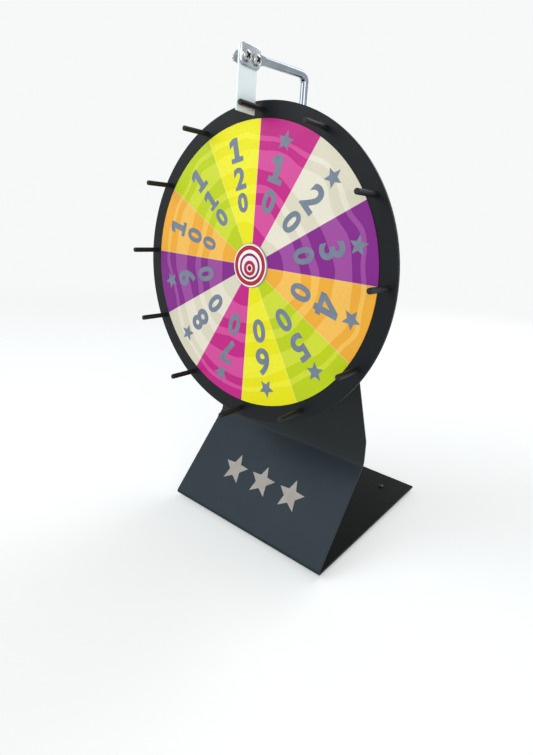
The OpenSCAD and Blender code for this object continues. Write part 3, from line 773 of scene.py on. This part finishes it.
def makeNut():
    p = clampNut
    cornerRadius = p["flats"] / 2 / cos(pi / 6)
    onlySelect()
    bpy.ops.mesh.primitive_cylinder_add(vertices=6, radius=cornerRadius, depth=p["height"])
    nut = bpy.context.object
    # the turned form is a hair larger, so that only its eased rims cut
    bpy.ops.mesh.primitive_cylinder_add(vertices=64, radius=cornerRadius * 1.01, depth=p["height"] * 1.002)
    turned = bpy.context.object
    easeEdges(turned, p["corner"], 1, 60)
    cutWith(nut, turned, "INTERSECT")
    bpy.ops.mesh.primitive_cylinder_add(vertices=40, radius=p["bore"] / 2, depth=p["height"] * 2)
    cutWith(nut, bpy.context.object)
    easeEdges(nut, p["edge"], 2, 35)
    nut.data.materials.append(zincSteel)
    return nut


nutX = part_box("flapper_root")[0].x - clampNut["height"] / 2
spots = [Matrix.Translation((nutX, spotY, clampZ)) @ alongX for spotY in clampYs]
setOut("clampNuts", makeNut(), spots, "stand", ["flapper_nuts"])
print("nuts made")


# bent rod: a round bar up, round and forward, pressed flat at its front end
bentRod = {
    "radius": 0.004, "sides": 40, "standY": -0.03175, "bendRadius": 0.008, "bendSteps": 20, "climb": 4.5,
    "endAt": (-0.10025, 0.4645),  # y and z where the neck meets the flat end
    "neckLength": 0.005, "neckHeight": 0.011, "neckSlim": 0.96, "neckSteps": 6, "neckInPlate": 0.001,
    "plateThick": 0.003, "plateFront": -0.12425, "plateHeight": 0.0185, "plateDrop": 0.0005,
    "plateCorner": 0.0035, "edge": 0.0009,
}


def makeRod():
    p = bentRod
    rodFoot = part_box("flapper_arm")[0].z
    onlySelect()
    bpy.ops.mesh.primitive_circle_add(
        vertices=p["sides"], radius=p["radius"], fill_type="NGON", location=(0, p["standY"], rodFoot))
    rod = bpy.context.object
    applyPlace(rod)
    editOn(rod)
    bpy.ops.mesh.select_all(action="SELECT")
    endY, endZ = p["endAt"]
    climb = radians(p["climb"])
    run = p["standY"] - endY
    tangent = p["bendRadius"] * tan(pi / 4 + climb / 2)
    bendZ = endZ + run * tan(climb) - tangent
    bendCentre = (0, p["standY"] - p["bendRadius"], bendZ)
    pull((0, 0, bendZ - rodFoot))
    bpy.ops.mesh.spin(steps=p["bendSteps"], angle=pi / 2 + climb, center=bendCentre, axis=(-1, 0, 0))
    forward = Vector((0, -cos(climb), -sin(climb)))
    pull(forward * (run / cos(climb) - tangent - p["neckLength"]))
    endWide = p["plateThick"] / 2 / p["radius"] * p["neckSlim"]
    endTall = p["neckHeight"] / 2 / p["radius"]
    wide, tall = 1.0, 1.0
    for i in range(1, p["neckSteps"] + 1):  # pressed flat little by little
        ease = i / p["neckSteps"]
        nextWide = 1 + (endWide - 1) * ease
        nextTall = 1 + (endTall - 1) * ease
        pull(forward * p["neckLength"] / p["neckSteps"])
        centre = Vector((0, endY, endZ)) - forward * p["neckLength"] * (1 - ease)
        resize((nextWide / wide, 1, nextTall / tall), centre)
        wide, tall = nextWide, nextTall
    pull((0, -p["neckInPlate"], 0))
    editOff()
    closeUp(rod)
    plateSize = (p["plateThick"], endY - p["plateFront"], p["plateHeight"])
    plate = addBox(plateSize, (0, (p["plateFront"] + endY) / 2, endZ - p["plateDrop"]))
    editOn(plate)
    pick(plate, "EDGE", lambda e: abs(e.verts[0].co.x - e.verts[1].co.x) > p["plateThick"] / 2)
    bpy.ops.mesh.bevel(offset=p["plateCorner"], segments=8, affect="EDGES")
    editOff()
    easeEdges(plate, p["edge"], 3, 50)
    rod.data.materials.append(rodChrome)
    plate.data.materials.append(plateChrome)
    return dress(joinAll([rod, plate]), "bentRod", None, "stand", ["flapper_arm"])


rod = makeRod()
print("rod made:", len(rod.data.polygons), "faces")


# flapper: one strip from the clamp to the pegs, with extra cuts across it in a band below the clamp
flapperShape = {"corner": 0.0006, "edge": 0.0002, "bendFrom": 0.4547, "bendTo": 0.4400, "cuts": 22}


def makeFlapper():
    p = flapperShape
    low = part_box("flapper_blade")[0]
    rootLow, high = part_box("flapper_root")
    size = (high.x - rootLow.x, high.y - rootLow.y, high.z - low.z)
    middle = Vector(((rootLow.x + high.x) / 2, (rootLow.y + high.y) / 2, (high.z + low.z) / 2))
    strip = addBox(size, middle)
    editOn(strip)
    pick(strip, "EDGE", lambda e: abs(e.verts[0].co.x - e.verts[1].co.x) > size[0] / 2)
    bpy.ops.mesh.bevel(offset=p["corner"], segments=5, affect="EDGES")
    editOff()
    easeEdges(strip, p["edge"], 2, 50)
    editOn(strip)
    for i in range(p["cuts"] + 1):
        cutZ = p["bendFrom"] + (p["bendTo"] - p["bendFrom"]) * i / p["cuts"]
        cutAcross((0, 0, cutZ), (0, 0, 1))
    editOff()
    dress(strip, "flapper", stripPale, hides=["flapper_root", "flapper_blade"])
    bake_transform(strip)
    return strip


flapper = makeFlapper()
print("flapper made:", len(flapper.data.polygons), "faces")


# block that holds the rod, eased all round, with the rod's hole and the set screw's hole
rodBlock = {
    "edge": 0.0012,
    "rodHole": 0.00402, "rodCutter": 0.1, "screwHole": 0.00255, "screwCutter": 0.012,  # radii and lengths
}


def makeBlock():
    p = rodBlock
    low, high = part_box("arm_block")
    block = addBox(high - low, (low + high) / 2)
    easeEdges(block, p["edge"], 3, 50)
    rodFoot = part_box("flapper_arm")[0].z
    bpy.ops.mesh.primitive_cylinder_add(
        vertices=48, radius=p["rodHole"], depth=p["rodCutter"],
        location=(0, bentRod["standY"], rodFoot + p["rodCutter"] / 2))
    cutWith(block, bpy.context.object)
    setScrew = middleOf("arm_set_screw")
    bpy.ops.mesh.primitive_cylinder_add(
        vertices=40, radius=p["screwHole"], depth=p["screwCutter"],
        location=(setScrew.x, low.y, setScrew.z), rotation=(radians(90), 0, 0))
    cutWith(block, bpy.context.object)
    return dress(block, "rodHolder", milledAluminium, "stand", ["arm_block"])


block = makeBlock()
print("block made:", len(block.data.polygons), "faces")


# plain five-point star, flat in XY, a hair thick
starShape = {"points": 5, "inner": 0.45}


def makeStar(radius, thick):
    p = starShape
    step = pi / p["points"]  # from a point to the notch beside it
    onlySelect()
    bpy.ops.mesh.primitive_circle_add(vertices=2 * p["points"], radius=radius, fill_type="NGON")
    star = bpy.context.object
    editOn(star)
    pick(star, "VERT", lambda v: round(atan2(v.co.x, v.co.y) / step) % 2 == 1)
    resize((p["inner"], p["inner"], 1))
    bpy.ops.mesh.select_all(action="SELECT")
    pull((0, 0, thick))
    editOff()
    closeUp(star)
    return star


# numbers on the dial: ten to a hundred and twenty, digits stacked from the rim inwards
dialNumbers = {
    "step": 10, "lift": 0.00004, "thick": 0.00008, "bold": 0.0011,
    "two": [(0.092, 0.034), (0.0625, 0.029)],  # each digit's distance from the axle and size
    "three": [(0.110, 0.0315), (0.083, 0.0275), (0.060, 0.0235)],
    "starAt": 0.1175, "starRadius": 0.0092,
}


def onDial(angle, radius):
    axle = Matrix.Translation((0, dialFaceY - dialNumbers["lift"], axleZ))
    outwards = Matrix.Rotation(angle, 4, "Y") @ Matrix.Translation((0, 0, radius))
    return axle @ outwards @ Matrix.Rotation(radians(90), 4, "X")


# the one is drawn with a flag and a foot, as the built-in one is a bare stroke
oneShape = {  # shares of the digit's size
    "tall": 0.74, "stroke": 0.2, "footTall": 0.15, "footOut": 0.14,
    "flagTall": 0.19, "flagOut": 0.15, "flagDrop": 0.09,
}


def makeOne(size):
    p = {key: size * share for key, share in oneShape.items()}
    digit = addBox((p["stroke"], p["tall"], dialNumbers["thick"]))
    footTop = -p["tall"] / 2 + p["footTall"]
    flagLow = p["tall"] / 2 - p["flagTall"]
    editOn(digit)
    for cutY in (footTop, flagLow):
        cutAcross((0, cutY, 0), (0, 1, 0))
    for side in (-1, 1):
        pick(digit, "FACE", lambda f: f.normal.x * side > 0.9 and f.calc_center_median().y < footTop)
        pull((side * p["footOut"], 0, 0))
    pick(digit, "FACE", lambda f: f.normal.x < -0.9 and f.calc_center_median().y > flagLow)
    pull((-p["flagOut"], -p["flagDrop"], 0))
    editOff()
    return digit


# the four is three bars, as the bold built-in one folds over its own eye
fourShape = {  # shares of the digit's size
    "tall": 0.74, "stroke": 0.17, "bar": 0.1564, "slope": 0.1462, "slopeLong": 1.2,
    "postX": 0.13, "barY": -0.2, "barEnd": 0.3,
}


def makeFour(size):
    p = {key: size * share for key, share in fourShape.items()}
    thick = dialNumbers["thick"]
    top = Vector((p["postX"] - p["stroke"] / 2, p["tall"] / 2, 0))  # the slope's outer edge runs from here
    corner = Vector((-p["barEnd"], p["barY"] + p["bar"] / 2, 0))  # to here
    lean = atan2(top.y - corner.y, top.x - corner.x)
    slopeAt = (top + corner) / 2 + Vector((sin(lean), -cos(lean), 0)) * p["slope"] / 2
    post = addBox((p["stroke"], p["tall"], thick), (p["postX"], 0, 0))
    bar = addBox((2 * p["barEnd"], p["bar"], thick), (0, p["barY"], 0))
    slope = addBox((p["slopeLong"], p["slope"], thick), slopeAt, lean)
    editOn(slope)  # it ends inside the other two
    ends = [
        ((p["postX"], 0, 0), (1, 0, 0)), (top, (0, 1, 0)),
        (corner, (-1, 0, 0)), ((0, p["barY"], 0), (0, -1, 0)),
    ]
    for place, outward in ends:
        cutAcross(place, outward, clear_outer=True, use_fill=True)
    editOff()
    for part in (bar, slope):
        cutWith(post, part, "UNION")
    return post


def makeDigit(character, size):
    if character == "1":
        return makeOne(size)
    if character == "4":
        return makeFour(size)
    onlySelect()
    bpy.ops.object.text_add()
    digit = bpy.context.object
    digit.data.body = character
    digit.data.size = size
    digit.data.offset = dialNumbers["bold"]
    digit.data.extrude = dialNumbers["thick"] / 2
    digit.data.resolution_u = 8
    bpy.ops.object.convert(target="MESH")
    bpy.ops.object.origin_set(type="ORIGIN_GEOMETRY", center="BOUNDS")
    digit.location = (0, 0, 0)
    applyPlace(digit)
    return digit


def makeNumbers():
    p = dialNumbers
    marks = []
    for sector in range(sectorCount):
        angle = restTurn + sectorAngle * (sector + 0.5)
        number = str(p["step"] * (sector + 1))
        digitSpots = p["two"] if len(number) == 2 else p["three"]
        for character, (radius, size) in zip(number, digitSpots):
            marks.append(placed(makeDigit(character, size), onDial(angle, radius)))
        if len(number) == 2:  # room for a star
            marks.append(placed(makeStar(p["starRadius"], p["thick"]), onDial(angle, p["starAt"])))
    numbers = joinAll(marks)
    closeUp(numbers)
    return dress(numbers, "dialNumbers", numberInk, "wheel", smooth=30)


numbers = makeNumbers()
print("numbers made:", len(numbers.data.polygons), "faces")


# three plain stars on the slanted panel
panelStars = {"count": 3, "apart": 0.039, "radius": 0.0165, "thick": 0.0001, "along": 0.048}


def makePanelStars():
    p = panelStars
    bendY, bendZ = bentSheet["bendAt"]
    panelOut = bentSheet["bendRadius"] + bentSheet["thick"] / 2
    panel = Matrix.Translation((0, bendY, bendZ)) @ Matrix.Rotation(radians(bentSheet["panelAngle"]), 4, "X")
    stars = []
    for i in range(p["count"]):
        across = (i - (p["count"] - 1) / 2) * p["apart"]
        spot = panel @ Matrix.Translation((across, p["along"], panelOut))
        stars.append(placed(makeStar(p["radius"], p["thick"]), spot))
    return dress(joinAll(stars), "panelStars", starInk, "stand", smooth=30)


makePanelStars()
print("panel stars made")


# studio: pale floor that runs out into a pale surround, soft lights, camera at the photograph's angle
studio = {
    "floor": (240, 241, 240), "floorLight": (242, 243, 242), "nearRadius": 1.2, "farRadius": 30.0,
    "fadeFrom": 0.5, "fadeTo": 1.8, "glow": 0.36,  # the floor fades into the surround between these radii
    "surround": (0.93, 0.94, 0.94, 1), "sky": (0.24, 0.25, 0.26, 1),
    "paleTo": 0.35, "skyFrom": 0.6,  # heights in the sky, as sines
}
lamps = {
    "keyLamp": {
        "at": (-0.95, -1.4, 1.25), "aim": (0, 0, 0.22),
        "size": 1.2, "power": 13.5, "colour": (0.93, 0.975, 1.0),
    },
    "sideLamp": {
        "at": (1.5, -1.3, 0.6), "aim": (0, 0, 0.3),
        "size": 1.0, "power": 9, "colour": (0.98, 0.99, 1.0),
    },
    "backLamp": {
        "at": (0.3, 1.15, 1.55), "aim": (0, 0, 0.4),
        "size": 0.9, "power": 6, "colour": (1.0, 1.0, 1.0),
    },
    "rearLamp": {
        "at": (0.1, 1.9, 0.45), "aim": (0, 0, 0.25),
        "size": 1.1, "power": 8.5, "colour": (1.0, 1.0, 1.0),
    },
}
photoView = {
    "at": (0.3079, -0.4404, 0.3268), "turn": (81.2317, -4.1, 37.7302),
    "sensor": 36, "lens": 23.268, "shift": (-0.029, -0.1085), "nearest": 0.01,
}


def raysSeen(tree):  # what the camera sees, straight or in gloss and glass
    rays = addNode(tree, "ShaderNodeLightPath").outputs
    seen = calc(tree, "MAXIMUM", rays["Is Camera Ray"], rays["Is Glossy Ray"])
    return calc(tree, "MAXIMUM", seen, rays["Is Transmission Ray"])


def makeFloor():
    p = studio
    material, tree, shader = startMaterial(
        "floorMatt", Specular_IOR_Level=0.0, Roughness=0.9, Emission_Color=p["surround"])
    axes = objectAxes(tree)
    away = distance(tree, axes["X"], axes["Y"])
    fade = spread(tree, away, 0.0, 1.0, p["fadeFrom"], p["fadeTo"], "SMOOTHSTEP")
    paper = twoTone(tree, cloud(tree, 2, detail=2), p["floor"], p["floorLight"], start=0.3, end=0.7)
    colourFrom(tree, shader, mixColour(tree, fade, paper, (0, 0, 0, 1)))
    glow = calc(tree, "MULTIPLY", raysSeen(tree), p["glow"])
    rest = calc(tree, "MULTIPLY", fade, calc(tree, "SUBTRACT", 1, glow))
    tree.links.new(calc(tree, "ADD", glow, rest), shader.inputs["Emission Strength"])
    onlySelect()
    bpy.ops.mesh.primitive_circle_add(vertices=96, radius=p["nearRadius"], fill_type="NGON")
    floor = bpy.context.object
    editOn(floor)
    pick(floor, "EDGE", lambda e: e.is_boundary)
    bpy.ops.mesh.extrude_edges_move()
    growth = p["farRadius"] / p["nearRadius"]
    resize((growth, growth, 1))
    editOff()
    floor.name = "paleFloor"
    floor.data.materials.append(material)


def makeWorld():
    p = studio
    world = bpy.data.worlds.new("softWorld")
    bpy.context.scene.world = world
    world.use_nodes = True
    tree = world.node_tree
    heights = addNode(tree, "ShaderNodeSeparateXYZ")
    tree.links.new(addNode(tree, "ShaderNodeTexCoord").outputs["Generated"], heights.inputs[0])
    stops = [(0.0, p["surround"]), (p["paleTo"], p["surround"]), (p["skyFrom"], p["sky"])]
    glow = ramp(tree, heights.outputs["Z"], stops)
    shown = mixColour(tree, raysSeen(tree), glow, p["surround"])
    tree.links.new(shown, tree.nodes["Background"].inputs["Color"])
    bpy.context.scene.view_settings.view_transform = "Standard"


def makeLamps():
    for name, p in lamps.items():
        aim = Vector(p["aim"]) - Vector(p["at"])
        turn = aim.to_track_quat("-Z", "Y").to_euler()
        bpy.ops.object.light_add(type="AREA", location=p["at"], rotation=turn)
        lamp = bpy.context.object
        lamp.name = name
        lamp.data.size = p["size"]
        lamp.data.energy = p["power"]
        lamp.data.color = p["colour"]


def makeCamera():
    p = photoView
    bpy.ops.object.camera_add(location=p["at"], rotation=[radians(angle) for angle in p["turn"]])
    camera = bpy.context.object
    camera.name = "photoCamera"
    camera.data.sensor_width = p["sensor"]
    camera.data.lens = p["lens"]
    camera.data.shift_x, camera.data.shift_y = p["shift"]
    camera.data.clip_start = p["nearest"]
    bpy.context.scene.camera = camera


makeFloor()
makeWorld()
makeLamps()
makeCamera()
print("studio and camera ready")
